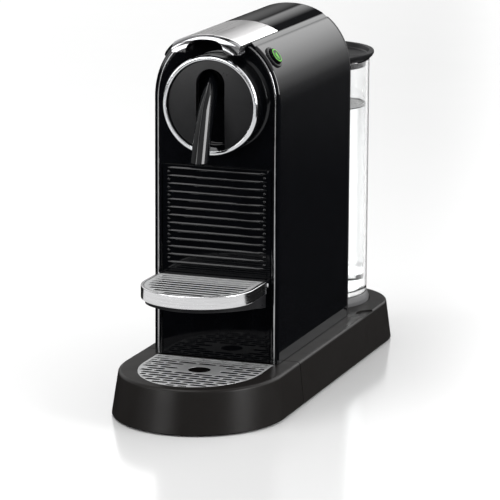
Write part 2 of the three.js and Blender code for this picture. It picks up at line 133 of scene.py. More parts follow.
def object_noise(material, scale, detail=3.0, stretch=(1, 1, 1)):
    """Noise fixed to the object, in features per metre; stretch makes it run along an axis."""
    nodes, links = material.node_tree.nodes, material.node_tree.links
    place = nodes.new("ShaderNodeTexCoord")
    mapping = add_node(nodes, "ShaderNodeMapping", Scale=stretch)
    noise = add_node(nodes, "ShaderNodeTexNoise", Scale=scale, Detail=detail)
    links.new(place.outputs["Object"], mapping.inputs["Vector"])
    links.new(mapping.outputs["Vector"], noise.inputs["Vector"])
    return noise.outputs["Fac"]


def spread(material, source, low, high, socket):
    """Maps a noise to a range of values on one of the shader's sockets."""
    nodes, links = material.node_tree.nodes, material.node_tree.links
    mapper = add_node(nodes, "ShaderNodeMapRange", From_Min=0.3, From_Max=0.7, To_Min=low, To_Max=high)
    links.new(source, mapper.inputs["Value"])
    links.new(mapper.outputs["Result"], nodes["Principled BSDF"].inputs[socket])


def tint(material, source, dark, light):
    """Varies the base colour between two tones."""
    nodes, links = material.node_tree.nodes, material.node_tree.links
    ramp = add_ramp(nodes, ((0.35, dark), (0.65, light)))
    links.new(source, ramp.inputs["Fac"])
    links.new(ramp.outputs["Color"], nodes["Principled BSDF"].inputs["Base Color"])


def emboss(material, source, strength, distance):
    nodes, links = material.node_tree.nodes, material.node_tree.links
    bump = add_node(nodes, "ShaderNodeBump", Strength=strength, Distance=distance)
    links.new(source, bump.inputs["Height"])
    links.new(bump.outputs["Normal"], nodes["Principled BSDF"].inputs["Normal"])


def surface(name, color, noise, roughness, tones=None, relief=None, metallic=0.0, haze=None,
            **sockets):
    """A material whose tone and relief follow one noise; haze gives its roughness one of its own."""
    material = new_material(name, color, metallic, **sockets)
    grain = object_noise(material, *noise)
    cloud = object_noise(material, haze) if haze else grain
    spread(material, cloud, *roughness, "Roughness")
    if tones:
        tint(material, grain, *tones)
    if relief:
        emboss(material, grain, *relief)
    return material


def gloss_black(name, specular):
    material = surface(name, (0.002, 0.0023, 0.003), (60,), (0.035, 0.075),
                       ((0.0018, 0.0020, 0.0026), (0.0024, 0.0026, 0.0034)),
                       IOR=1.48, Specular_IOR_Level=specular)
    emboss(material, object_noise(material, 22, 1.0), 0.02, 0.0003)
    return material


GLOSS = gloss_black("piano_black", 0.5)
PANEL = gloss_black("panel_black", 0.1)
SATIN = surface("satin_black", (0.012, 0.012, 0.013), (2600, 2.0), (0.27, 0.36),
                ((0.010, 0.010, 0.011), (0.016, 0.016, 0.017)), (0.12, 0.0001), haze=90,
                IOR=1.45, Specular_IOR_Level=0.35)
BASE = surface("spark_grain_plastic", (0.009, 0.0082, 0.0077), (1900, 4.0), (0.30, 0.37),
               ((0.0070, 0.0062, 0.0057), (0.0110, 0.0097, 0.0090)), (0.22, 0.00012), haze=50,
               IOR=1.45, Specular_IOR_Level=0.2)
CHROME = surface("polished_chrome", (0.78, 0.79, 0.81), (120,), (0.10, 0.16),
                 ((0.74, 0.75, 0.77), (0.83, 0.84, 0.86)), metallic=1.0)
# Chrome with its colour darkened, worn by the trim line and the lever grip: the darker colour paints in the
# shade of their dim reflections
SHADED_CHROME = surface("chrome_darkened_as_shade", (0.40, 0.40, 0.41), (120,), (0.10, 0.16),
               ((0.36, 0.36, 0.37), (0.44, 0.44, 0.45)), metallic=1.0)
BAND = surface("satin_chrome", (0.80, 0.80, 0.81), (1100, 2.0, (0.05, 0.05, 1)), (0.11, 0.15),
               ((0.77, 0.77, 0.78), (0.84, 0.84, 0.85)), metallic=1.0)
SILVER = surface("satin_silver", (0.86, 0.85, 0.85), (900, 2.0, (1, 0.02, 1)), (0.27, 0.32),
                 ((0.83, 0.82, 0.82), (0.89, 0.88, 0.88)), (0.05, 0.00005), metallic=1.0)
STEEL = surface("brushed_steel", (0.66, 0.665, 0.67), (1500, 2.0, (0.02, 1, 1)), (0.46, 0.54),
                ((0.62, 0.625, 0.63), (0.72, 0.725, 0.73)), (0.02, 0.00003), metallic=0.7)
BRASS = surface("turned_brass", (0.6, 0.42, 0.18), (700, 3.0, (1, 0.1, 1)), (0.25, 0.42),
                ((0.52, 0.36, 0.15), (0.68, 0.50, 0.24)), metallic=1.0)
RUBBER = surface("soft_rubber", (0.015, 0.015, 0.015), (1600,), (0.7, 0.9),
                 ((0.012, 0.012, 0.012), (0.022, 0.022, 0.022)), (0.3, 0.0001))
CLEAR = surface("clear_plastic", (0.985, 0.99, 0.99), (40,), (0.0, 0.02),
                IOR=1.46, Transmission_Weight=1.0)
WATER = surface("water", (0.99, 1.0, 1.0), (30,), (0.0, 0.004), IOR=1.333, Transmission_Weight=1.0)
GREY = surface("grey_plastic", (0.10, 0.10, 0.103), (1400,), (0.28, 0.4),
               ((0.09, 0.09, 0.093), (0.12, 0.12, 0.123)), (0.1, 0.0001), haze=80)
NYLON = surface("white_nylon", (0.72, 0.71, 0.67), (140,), (0.4, 0.55),
                ((0.68, 0.67, 0.62), (0.77, 0.76, 0.72)))
BOARD = surface("circuit_board", (0.02, 0.14, 0.06), (500, 0.0, (1, 1, 0.12)), (0.3, 0.5),
                ((0.012, 0.10, 0.04), (0.05, 0.24, 0.10)))
GREEN = surface("lit_green", (0.04, 0.20, 0.02), (300,), (0.3, 0.45),
                ((0.03, 0.16, 0.01), (0.05, 0.24, 0.02)), Emission_Color=(0.20, 0.80, 0.05, 1),
                Emission_Strength=0.5, Specular_IOR_Level=0.1)

SLOTS = {
    "gloss_black": GLOSS, "satin_black": SATIN, "matte_base": BASE, "chrome_trim": CHROME,
    "silver_satin": SILVER, "stainless": STEEL, "brass_metal": BRASS, "rubber_black": RUBBER,
    "clear_tank": CLEAR, "light_grey": GREY, "board_green": BOARD, "white_plastic": NYLON,
}
SLOT_OF = {material: slot for slot, material in SLOTS.items()}
SLOT_OF[BAND] = "chrome_trim"
SLOT_OF[SHADED_CHROME] = "chrome_trim"
SLOT_OF[PANEL] = "gloss_black"


# ---- Mesh tools --------------------------------------------------------------------------------
def scene_object(name, data):
    piece = bpy.data.objects.new(name, data)
    bpy.context.scene.collection.objects.link(piece)
    return piece


def evaluated_mesh(piece):
    bpy.context.view_layer.update()
    graph = bpy.context.evaluated_depsgraph_get()
    return bpy.data.meshes.new_from_object(piece.evaluated_get(graph))


def from_bmesh(name, bm):
    bmesh.ops.remove_doubles(bm, verts=bm.verts, dist=1e-7)
    bmesh.ops.recalc_face_normals(bm, faces=bm.faces)
    mesh = bpy.data.meshes.new(name)
    bm.to_mesh(mesh)
    bm.free()
    return scene_object(name, mesh)


def loft(name, rings):
    """Joins rings of equal length into one body, with a face on each end."""
    bm = bmesh.new()
    rows = [[bm.verts.new(point) for point in ring] for ring in rings]
    count = len(rows[0])
    for here, there in zip(rows, rows[1:]):
        for j in range(count):
            k = (j + 1) % count
            bm.faces.new((here[j], here[k], there[k], there[j]))
    bm.faces.new(rows[0])
    bm.faces.new(rows[-1])
    return from_bmesh(name, bm)


def flat_plate(name, loops, axis, low, high, bevel=0.0, steps=2):
    """A plate from 2D outlines, the later ones being holes, with its edges rounded.

    The outlines are in (x, y) for axis "z", (x, z) for axis "y" and (y, z) for axis "x".
    """
    curve = bpy.data.curves.new(name, "CURVE")
    curve.dimensions = "2D"
    curve.fill_mode = "BOTH"
    curve.extrude = (high - low) / 2 - bevel
    curve.bevel_depth = bevel
    curve.bevel_resolution = steps
    curve.offset = -bevel
    for loop in loops:
        spline = curve.splines.new("POLY")
        spline.points.add(len(loop) - 1)
        for point, (u, v) in zip(spline.points, loop):
            point.co = (u, v, 0, 1)
        spline.use_cyclic_u = True
    sketch = scene_object(name + "_sketch", curve)
    mesh = evaluated_mesh(sketch)
    bpy.data.objects.remove(sketch)
    bm = bmesh.new()
    bm.from_mesh(mesh)
    bpy.data.meshes.remove(mesh)
    middle = (low + high) / 2
    turn = {
        "z": Matrix.Translation((0, 0, middle)),
        "y": Matrix.Translation((0, middle, 0)) @ Matrix.Rotation(math.pi / 2, 4, "X"),
        "x": Matrix.Translation((middle, 0, 0)) @ Matrix(
            ((0, 0, 1, 0), (1, 0, 0, 0), (0, 1, 0, 0), (0, 0, 0, 1))),
    }[axis]
    bmesh.ops.transform(bm, matrix=turn, verts=bm.verts)
    return from_bmesh(name, bm)


def turned(name, profile, segments=128, wave=None):
    """A turned body on the Z axis from a closed profile of (radius, height) points.

    wave scales the radius by angle, which cuts teeth or flutes into the outside.
    """
    bm = bmesh.new()
    rows = []
    for angle in angles(TAU, segments)[:-1]:
        row = []
        for radius, height in profile:
            if wave:
                radius = wave(radius, angle)
            row.append(bm.verts.new((radius * math.cos(angle), radius * math.sin(angle), height)))
        rows.append(row)
    count = len(profile)
    on_axis = profile[0][0] == 0 and profile[-1][0] == 0
    spans = count - 1 if on_axis else count
    for i in range(segments):
        here, there = rows[i], rows[(i + 1) % segments]
        for j in range(spans):
            k = (j + 1) % count
            corners = [here[j], there[j], there[k], here[k]]
            if profile[j][0] == 0:
                corners = [here[j], there[k], here[k]]
            elif profile[k][0] == 0:
                corners = [here[j], there[j], here[k]]
            bm.faces.new(corners)
    return from_bmesh(name, bm)


def rod(name, radius, low, high, segments):
    """A solid round bar on the Z axis."""
    return turned(name, [(0, low), (radius, low), (radius, high), (0, high)], segments)


def along_y(piece, z, y=0.0):
    """Turns a body made on Z so that its height runs along +Y, about an axis at height z."""
    piece.data.transform(Matrix.Translation((0, y, z)) @ Matrix.Rotation(-math.pi / 2, 4, "X"))
    return piece


def shift(piece, x, y=0.0):
    piece.data.transform(Matrix.Translation((x, y, 0)))
    return piece


def block(name, low, high):
    loop = [(low[0], low[1]), (high[0], low[1]), (high[0], high[1]), (low[0], high[1])]
    return flat_plate(name, [loop], "z", low[2], high[2])


def apply_modifiers(piece):
    mesh = evaluated_mesh(piece)
    old = piece.data
    piece.modifiers.clear()
    piece.data = mesh
    bpy.data.meshes.remove(old)


def combine(piece, operation, *tools):
    for tool in tools:
        modifier = piece.modifiers.new(operation, "BOOLEAN")
        modifier.operation = operation
        modifier.solver = "EXACT"
        modifier.object = tool
    apply_modifiers(piece)
    for tool in tools:
        bpy.data.objects.remove(tool)
    return piece


def cut(piece, *tools):
    return combine(piece, "DIFFERENCE", *tools)


def add(piece, *tools):
    return combine(piece, "UNION", *tools)


def keep(piece, *tools):
    return combine(piece, "INTERSECT", *tools)


def soften(piece, width, segments=2, angle=40):
    """Rounds every edge sharper than the angle."""
    modifier = piece.modifiers.new("edge", "BEVEL")
    modifier.width = width
    modifier.segments = segments
    modifier.limit_method = "ANGLE"
    modifier.angle_limit = math.radians(angle)
    modifier.use_clamp_overlap = True
    apply_modifiers(piece)
    return piece


def finish_piece(piece, material, body, *nodes, sharp=32):
    """Shades the piece, gives it its material and puts it on its body in place of CAD nodes."""
    piece.data.materials.clear()
    piece.data.materials.append(material)
    piece.data.shade_smooth()
    piece.data.set_sharp_from_angle(angle=math.radians(sharp))
    weigh = piece.modifiers.new("flat_faces_lead", "WEIGHTED_NORMAL")
    weigh.keep_sharp = True
    weigh.weight = 80
    apply_modifiers(piece)
    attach(piece, body)
    if nodes:
        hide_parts(*nodes)
    return piece


def angles(turn, steps, start=0):
    return [start + turn * i / steps for i in range(steps + 1)]


def arc(cx, cy, radius, start, end, steps):
    """Points of an arc, angles in degrees."""
    return [(cx + radius * math.cos(a), cy + radius * math.sin(a))
            for a in map(math.radians, angles(end - start, steps, start))]


def circle(cx, cy, radius, count=64):
    return arc(cx, cy, radius, 0, 360 - 360 / count, count - 1)


def pill(cx, cy, half, radius, steps=5):
    """A slot with round ends, lying along the first direction."""
    reach = half - radius
    right = arc(cx + reach, cy, radius, -90, 90, steps)
    return right + arc(cx - reach, cy, radius, 90, 270, steps)


def mirror_x(piece, side):
    if side < 0:
        piece.data.transform(Matrix.Scale(-1, 4, (1, 0, 0)))
        piece.data.flip_normals()
    return piece


# ---- The body's rounded top --------------------------------------------------------------------
def arch_at(inset, angle):
    """A point of the body's front outline, pulled in by an inset; angle 0 is the right spring."""
    half = BODY_HALF - inset
    rise = BODY_TOP - SPRING - inset
    c, s = math.cos(angle), math.sin(angle)
    x = half * math.copysign(abs(c) ** (2 / POWER), c)
    return x, SPRING + rise * abs(s) ** (2 / POWER)


def arch_angle(inset, x):
    """Where the outline reaches a distance x from the middle plane."""
    half = BODY_HALF - inset
    return math.acos(math.copysign((abs(x) / half) ** (POWER / 2), x))


def arch_path(inset, foot, end_x, steps=56):
    """From the right foot up and over to where x is end_x; all insets share the same steps."""
    half = BODY_HALF - inset
    points = [(half, foot + (SPRING - foot) * i / 4) for i in range(4)]
    last = arch_angle(inset, end_x)
    return points + [arch_at(inset, a) for a in angles(last, steps)]


def arch_span(inset, half, steps=48):
    """The crown from x = half to x = -half."""
    first, last = arch_angle(inset, half), arch_angle(inset, -half)
    return [arch_at(inset, a) for a in angles(last - first, steps, first)]


def arch_loop(inset, foot, steps=112):
    """The whole outline, closed along its foot."""
    half = BODY_HALF - inset
    rounded = [arch_at(inset, a) for a in angles(math.pi, steps)]
    return [(half, foot)] + rounded + [(-half, foot)]


def band(name, section, path):
    """Sweeps a closed (y, inset) section along paths of the body's outline."""
    tracks = [path(inset) for _, inset in section]
    rings = []
    for i in range(len(tracks[0])):
        rings.append([(track[i][0], y, track[i][1]) for (y, _), track in zip(section, tracks)])
    return loft(name, rings)


def side_shells():
    nose = 2.3 * MM
    section = [(SHELL_REAR, 0.5 * MM), (SHELL_REAR - 0.5 * MM, 0)]
    section += [(BODY_FRONT + nose - nose * math.sin(a), nose - nose * math.cos(a))
                for a in angles(math.pi / 2, 8)]
    section += [(BODY_FRONT + 0.1 * MM, SHELL_WALL), (SHELL_REAR, SHELL_WALL)]
    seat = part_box("button_collar_right")
    centre = (seat[0] + seat[1]) / 2
    for name, side in (("right", 1), ("left", -1)):
        shell = band(name + "_shell", section,
                     lambda inset: arch_path(inset, BODY_FOOT, SEAM_SHELL))
        hole = rod("hole", 8.3 * MM, -14 * MM, 14 * MM, 64)
        hole.data.transform(Matrix.Translation(centre) @ Matrix.Rotation(BUTTON_TILT, 4, "Y"))
        cut(shell, hole)
        mirror_x(shell, side)
        finish_piece(shell, GLOSS, "housing", name + "_side_shell")


def front_trim():
    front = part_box("front_trim")[0].y
    middle = (TRIM_OUTER + TRIM_INNER) / 2
    radius = (TRIM_INNER - TRIM_OUTER) / 2
    section = [(-81 * MM, TRIM_OUTER)]
    section += [(front + radius - radius * math.sin(a), middle - radius * math.cos(a))
                for a in angles(math.pi, 8)]
    section += [(-81 * MM, TRIM_INNER)]

    def path(inset):
        right = arch_path(inset, BODY_FOOT, 0.0)
        return right + [(-x, z) for x, z in reversed(right[:-1])]

    # the trim line wears the chrome whose darker colour is painted shade
    finish_piece(band("trim_line", section, path), SHADED_CHROME, "housing", "front_trim")


def front_frame():
    low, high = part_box("front_frame")
    window_half = 42.8 * MM
    window_top = 178.2 * MM
    foot = low.z
    outer = arch_loop(FRAME_INSET, foot)
    corner = 1.5 * MM
    window = [(-window_half, foot)]
    window += arc(-window_half + corner, window_top - corner, corner, 180, 90, 4)
    window += arc(window_half - corner, window_top - corner, corner, 90, 0, 4)
    window += [(window_half, foot)]
    neck = circle(0, DRUM_Z, 25.2 * MM, 96)
    piece = flat_plate("head_panel", [outer + window, neck], "y", low.y, high.y, 0.45 * MM)
    finish_piece(piece, GLOSS, "housing", "front_frame")


def rear_cover():
    low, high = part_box("rear_cover")
    notch_half = SEAM_SHELL
    notch_z = 259.5 * MM
    screw_x, screw_z = 38 * MM, 62 * MM
    right = arch_path(0, low.z, notch_half)
    outline = right + [(notch_half, notch_z), (-notch_half, notch_z)]
    outline += [(-x, z) for x, z in reversed(right)]
    vents = [pill(0, (111.5 + 9 * i) * MM, 24 * MM, 1.5 * MM) for i in range(7)]
    plate = flat_plate("back_cover", [outline] + vents, "y", low.y, high.y, 0.5 * MM)
    for side in (-1, 1):
        seat = along_y(rod("seat", 3.6 * MM, 0, 5 * MM, 40), screw_z, high.y - 1.4 * MM)
        cut(plate, shift(seat, side * screw_x))
    finish_piece(plate, SATIN, "housing", "rear_cover")
    for name, side in (("left", -1), ("right", 1)):
        head = turned("screw", [(0, -0.5 * MM), (3.1 * MM, -0.5 * MM), (3.1 * MM, 0.1 * MM),
                                (2.6 * MM, 0.38 * MM), (0, 0.4 * MM)], 48)
        bars = [block("bar", (-a, -b, 0), (a, b, 2 * MM))
                for a, b in ((1.7 * MM, 0.4 * MM), (0.4 * MM, 1.7 * MM))]
        cut(head, *bars)
        along_y(head, screw_z, high.y - 0.7 * MM)
        shift(head, side * screw_x)
        finish_piece(head, STEEL, "housing", "rear_screw_" + name)


# ---- Brew head ---------------------------------------------------------------------------------
def drum():
    floor, front = -86 * MM, -91.7 * MM
    outer = 36.3 * MM
    collar = [
        (0, -84 * MM), (0, floor), (29.6 * MM, floor), (30 * MM, floor - 0.4 * MM),
        (30 * MM, front + 0.5 * MM), (30.5 * MM, front), (outer - 0.8 * MM, front),
        (outer, front + 0.8 * MM), (outer, -85.3 * MM), (24.8 * MM, -85.3 * MM),
        (24.8 * MM, -78 * MM), (22.8 * MM, -78 * MM), (22.8 * MM, -84 * MM), (0, -84 * MM),
    ]
    piece = along_y(turned("brew_collar", collar, 160), DRUM_Z)
    finish_piece(piece, GLOSS, "housing", "drum_collar")

    front, back = RING_LOW.y, RING_HIGH.y
    inner = 33.5 * MM
    section = [(inner, back), (inner, front + 0.7 * MM)]
    section += arc(inner + 0.7 * MM, front + 0.7 * MM, 0.7 * MM, 180, 270, 5)[1:]
    section += [(RING_R - 1.1 * MM, front), (RING_R - 0.7 * MM, front + 0.15 * MM),
                (RING_R - 0.1 * MM, front + 1.2 * MM), (RING_R, front + 1.6 * MM),
                (RING_R, back - 0.4 * MM), (RING_R - 0.4 * MM, back)]
    piece = along_y(turned("bright_ring", section, 192), DRUM_Z)
    finish_piece(piece, CHROME, "housing", "chrome_ring", sharp=50)

    radius = 33.2 * MM
    face_y = RING_LOW.y + 1.5 * MM
    dome = [(0, back), (0, face_y)]
    dome += [(radius * k / 12, face_y + 1.1 * MM * (k / 12) ** 2) for k in range(1, 12)]
    dome += [(radius - 0.5 * MM, face_y + 1.1 * MM), (radius, face_y + 1.6 * MM), (radius, back),
             (0, back)]
    face = along_y(turned("drum_disc", dome, 160), DRUM_Z)
    opening = arc(0, SLOT_TOP_Z, SLOT_HALF, 0, 180, 32) + [
        (-SLOT_HALF, 180 * MM), (SLOT_HALF, 180 * MM)]
    cut(face, flat_plate("opening", [opening], "y", -120 * MM, -80 * MM))
    soften(face, 0.7 * MM, 3, 50)
    finish_piece(face, SATIN, "housing", "drum_face")


def bezier(a, b, c, d, t):
    u = 1 - t
    return a * u ** 3 + b * 3 * u * u * t + c * 3 * u * t * t + d * t ** 3


def spout():
    """A beak that comes forward to a rounded crease, with a hollow tip."""
    outer_curve = ((0, -86.4, 248), (0, -101, 252), (0, -112, 240), (0, -128.4, 187.4))
    inner_curve = ((0, -86.4, 231), (0, -99, 230), (0, -108, 214), (0, -114.6, 187.4))
    root_half, tip_half = 4.8 * MM, 6.8 * MM
    outer = [Vector(point) * MM for point in outer_curve]
    inner = [Vector(point) * MM for point in inner_curve]
    rings = []
    steps = 40
    for i in range(steps + 1):
        t = i / steps
        half = root_half + (tip_half - root_half) * t
        rings.append(spout_section(bezier(*inner, t), bezier(*outer, t), half))
    tip_back, tip_front = bezier(*inner, 1), bezier(*outer, 1)
    middle = (tip_back + tip_front) / 2
    for shrink, rise in ((0.93, -0.3 * MM), (0.72, -0.3 * MM), (0.62, 2 * MM), (0.6, 12 * MM)):
        lift = (bezier(*inner, 0.93) - tip_back).normalized() * rise
        ring = spout_section(tip_back, tip_front, tip_half)
        rings.append([middle + (p - middle) * shrink + lift for p in ring])
    piece = loft("coffee_spout", rings)
    finish_piece(piece, GLOSS, "housing", "spout", sharp=60)


def spout_section(back, front, half):
    """One ring: across is X, along runs from the back of the spout to its front."""
    along = front - back
    count = 40
    points = []
    for j in range(count + 1):
        u = -1 + 2 * j / count
        across = math.sin(u * math.pi / 2)
        edge = math.sqrt(max(0.0, 1 - abs(across) ** 5))
        crease = 0.74 - 0.36 * math.hypot(across - 0.1, 0.12)
        share = 0.30 + edge * crease
        points.append(back + Vector((half * across, 0, 0)) + along * share)
    for j in range(1, count // 2):
        across = 1 - 2 * j / (count // 2)
        share = 0.30 - 0.30 * math.sqrt(max(0.0, 1 - abs(across) ** 4))
        points.append(back + Vector((half * across, 0, 0)) + along * share)
    return points


# ---- Lever -------------------------------------------------------------------------------------
def lever():
    front, rear = BODY_FRONT + 0.3 * MM, STRIP_HIGH.y
    thick = 2.4 * MM
    edge = 0.5 * MM
    section = [(rear, edge), (rear - edge, 0), (front + edge, 0), (front, edge),
               (front, thick), (rear, thick)]
    roll = 4.5 * MM

    def crown(inset):
        points = []
        for x, z in arch_span(inset, STRIP_HALF, 64):
            near = max(0.0, abs(x) - (STRIP_HALF - roll)) / roll
            points.append((x, z - 0.9 * MM * near ** 2 * (1 - inset / thick)))
        return points

    strip = band("strip", section, crown)
    pocket = [(-24.5 * MM, -1 * MM), (-120 * MM, -1 * MM), (-120 * MM, 1.4 * MM), (-24.5 * MM, 1.4 * MM)]
    cut(strip, band("pocket", pocket, lambda inset: arch_span(inset, PLATE_HIGH.x + 0.3 * MM)))
    neck = [(-84 * MM, 1.4 * MM), (-95.7 * MM, 1.4 * MM), (-95.7 * MM, thick), (-84 * MM, thick)]
    add(strip, band("neck", neck, lambda inset: arch_span(inset, PLATE_HIGH.x)))
    end_z = 264 * MM
    end = arch_span(0.6 * MM, STRIP_HALF - 0.1 * MM) + [
        (-STRIP_HALF + 0.1 * MM, end_z), (STRIP_HALF - 0.1 * MM, end_z)]
    add(strip, flat_plate("end", [end], "y", 77.4 * MM, rear - 0.05 * MM))
    for side in (-1, 1):
        ear = arc(PIVOT_Y, PIVOT_Z, 4 * MM, 180, 360, 16) + [
            (PIVOT_Y + 4 * MM, 275.5 * MM), (PIVOT_Y - 4 * MM, 275.5 * MM)]
        ear_hole = circle(PIVOT_Y, PIVOT_Z, 2.2 * MM, 32)
        add(strip, flat_plate("ear", [ear, ear_hole], "x", *sorted((side * 8.5 * MM, side * 12 * MM))))
        arm = arc(KNEE_Y, KNEE_Z, 4 * MM, 180, 300, 14) + [
            (KNEE_Y + 15 * MM, KNEE_Z + 1 * MM), (KNEE_Y + 16 * MM, 270 * MM), (KNEE_Y - 4 * MM, 270 * MM)]
        arm_hole = circle(KNEE_Y, KNEE_Z, 2.1 * MM, 32)
        add(strip, flat_plate("arm", [arm, arm_hole], "x", *sorted((side * 24 * MM, side * 26.8 * MM))))
    soften(strip, 0.25 * MM, 2, 50)
    finish_piece(strip, GLOSS, "lever", "lever_strip")

    tongue = [(PLATE_HIGH.y, 0.3 * MM), (PLATE_HIGH.y - 0.3 * MM, 0), (NOSE_Y + 0.15 * MM, 0),
              (NOSE_Y, 0.15 * MM), (NOSE_Y, 1.1 * MM), (PLATE_HIGH.y, 1.1 * MM)]
    plate = band("silver_plate", tongue, lambda inset: arch_span(inset, PLATE_HIGH.x, 64))
    soften(plate, 0.22 * MM, 2, 50)
    finish_piece(plate, SILVER, "lever", "lever_plate")
    lever_grip()


def lever_grip():
    """The lever's nose: it rolls down in front, and an arch for two fingers is cut in from below."""
    front, rear, low = GRIP_LOW.y, GRIP_HIGH.y, GRIP_LOW.z
    joint = NOSE_Y - 0.12 * MM
    drop = 7.5 * MM
    nose = [(rear, 1.45 * MM), (joint, 1.45 * MM), (joint, 0.15 * MM), (joint - 0.15 * MM, 0)]
    nose += [(joint + (front - joint) * math.sin(a), drop * (1 - math.cos(a)))
             for a in angles(math.pi / 2, 12)[1:]]
    nose += [(front, 15 * MM), (rear, 15 * MM)]
    grip = band("finger_grip", nose, lambda inset: arch_span(inset, GRIP_HIGH.x - 0.05 * MM, 48))
    keep(grip, block("keep", (-40 * MM, -130 * MM, low), (40 * MM, -80 * MM, 300 * MM)))
    half, rise = 14.5 * MM, 275.2 * MM - low
    arch = [(half * math.copysign(abs(math.cos(a)) ** 0.75, math.cos(a)), low + rise * math.sin(a) ** 0.75)
            for a in angles(math.pi, 32)]
    arch += [(-half, low - 5 * MM), (half, low - 5 * MM)]
    cut(grip, flat_plate("arch", [arch], "y", -130 * MM, -80 * MM))
    soften(grip, 0.8 * MM, 3, 50)
    # the grip wears the chrome whose darker colour is painted shade
    finish_piece(grip, SHADED_CHROME, "lever", "lever_grip", sharp=50)


# ---- Keys --------------------------------------------------------------------------------------
def keys():
    for name, side, key, cup in (("left", -1, "lungo", 3.0), ("right", 1, "espresso", 2.3)):
        low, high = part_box("button_switch_" + name)
        normal = Vector((side * math.sin(BUTTON_TILT), 0, math.cos(BUTTON_TILT)))
        centre = (low + high) / 2 + normal * 8.15 * MM
        seat = Matrix.Translation(centre) @ Matrix.Rotation(side * BUTTON_TILT, 4, "Y")

        def knurl(radius, angle):
            if radius < 7.4 * MM:
                return radius
            return radius - 0.35 * MM * (0.5 + 0.5 * math.cos(24 * angle)) ** 2

        ring = [(6.4 * MM, -5.4 * MM), (8.45 * MM, -5.4 * MM), (8.45 * MM, 0.1 * MM), (8.2 * MM, 0.75 * MM),
                (7.6 * MM, 1.0 * MM), (6.9 * MM, 0.95 * MM), (6.4 * MM, 0.5 * MM)]
        collar = turned("key_collar_" + name, ring, 192, knurl)
        collar.data.transform(seat)
        finish_piece(collar, SATIN, "housing", "button_collar_" + name)

        cap_r = 6.05 * MM
        top = 3.2 * MM
        profile = [(0, -5 * MM), (cap_r, -5 * MM), (cap_r, top - 0.9 * MM)]
        profile += arc(cap_r - 0.8 * MM, top - 0.9 * MM, 0.8 * MM, 0, 80, 5)[1:]
        profile += [(4.4 * MM, top - 0.02 * MM), (2.2 * MM, top + 0.02 * MM), (0, top + 0.03 * MM)]
        cap = turned(key + "_key_cap", profile, 96)
        cap.data.transform(seat)
        finish_piece(cap, PANEL, key + "_key", key + "_button")
        cup_sign(key, cup * MM, seat, top)


def cup_sign(key, size, seat, top):
    """A plain cup seen from the side inside a ring, both lit from below."""
    low, high = top - 0.15 * MM, top + 0.08 * MM
    rim = [(4.55 * MM, low), (5.35 * MM, low), (5.35 * MM, top - 0.085 * MM), (4.55 * MM, top - 0.01 * MM)]
    ring = turned(key + "_lit_ring", rim, 96)
    bowl = [(size, size * 0.5)] + arc(0, size * 0.5, size, 0, -180, 24)[1:]
    cup = flat_plate(key + "_cup_sign", [bowl], "z", low, high)
    handle = flat_plate("handle", [circle(size, size * 0.05, size * 0.5, 32),
                                   circle(size, size * 0.05, size * 0.28, 32)], "z", low, high)
    saucer = flat_plate("saucer", [pill(0, -size * 0.85, size * 1.05, size * 0.12)], "z", low, high)
    add(cup, handle, saucer)
    for sign in (ring, cup):
        sign.data.transform(seat)
        finish_piece(sign, GREEN, key + "_key")


# ---- Base --------------------------------------------------------------------------------------
def base_ring(inset, z):
    """One level of the base's outline: a half ellipse in front and rounded corners behind."""
    front_depth, rear_radius = 70 * MM, 50 * MM
    height = max(z, 0) / BASE_TOP
    half = BASE_HALF - inset
    front_y = -BASE_REACH + front_depth
    corner = rear_radius - inset
    corner_y = BASE_REACH - rear_radius
    points = [(half * math.cos(a), front_y + (front_depth - inset) * math.sin(a))
              for a in angles(math.pi, 64, math.pi)]
    points += arc(half - corner, corner_y, corner, 0, 90, 20)
    points += arc(-half + corner, corner_y, corner, 90, 180, 20)
    side_lean, front_lean, rear_lean = 3.6 * MM, 7.5 * MM, 4.4 * MM
    ring = []
    for x, y in points:
        lean = front_lean if y < 0 else rear_lean
        ring.append((x * (1 - side_lean / BASE_HALF * height), y * (1 - lean / BASE_REACH * height), z))
    return ring


def base_body(name):
    wall = 2.5 * MM
    edge = 2.2 * MM
    levels = [(0.4 * MM, BASE_FOOT), (0, BASE_FOOT + 0.5 * MM)]
    levels += [(0, BASE_FOOT + (BASE_TOP - edge - BASE_FOOT) * k / 3) for k in (1, 2, 3)]
    levels += [(edge - edge * math.cos(a), BASE_TOP - edge + edge * math.sin(a))
               for a in angles(math.pi / 2, 8)[1:]]
    outer = loft(name, [base_ring(inset, z) for inset, z in levels])
    inner = loft("inner", [base_ring(wall, -1 * MM), base_ring(wall, BASE_TOP - wall)])
    return cut(outer, inner)


def base_rear():
    shell = base_body("rear_base")
    keep(shell, block("half", (-80 * MM, SPLIT_REAR + 0.15 * MM, -1 * MM), (80 * MM, 200 * MM, 40 * MM)))
    recess_r, floor = 48.2 * MM, 26.5 * MM
    well = rod("well", recess_r + 2 * MM, 24.3 * MM, 31.5 * MM, 128)
    space = rod("space", recess_r, floor, 34.5 * MM, 128)
    bore = rod("bore", 5.4 * MM, 20 * MM, 30 * MM, 48)
    for tool in (well, space, bore):
        shift(tool, 0, TANK_Y)
    cord_hole = along_y(rod("cord_hole", 6.4 * MM, -8 * MM, 8 * MM, 48), 13 * MM, 181 * MM)
    body_hole = block("body_hole", (-BAY_HALF, -80 * MM, 20 * MM), (BAY_HALF, 74 * MM, 40 * MM))
    add(shell, well)
    scoops = [shift(rod("scoop", 14 * MM, BASE_TOP - 1.2 * MM, 40 * MM, 96), side * 66 * MM, 93 * MM)
              for side in (-1, 1)]
    cut(shell, space, bore, cord_hole, body_hole, *scoops)
    soften(shell, 0.5 * MM, 2, 50)
    finish_piece(shell, BASE, "housing", "base_frame")


def d_loop(half, rear, centre, front, inset=0.0):
    """Straight rear edge, straight sides, half-round front."""
    nose = [((half - inset) * math.cos(a), centre + (centre - front - inset) * math.sin(a))
            for a in angles(math.pi, 56, math.pi)]
    return [(half - inset, rear), (-half + inset, rear)] + nose


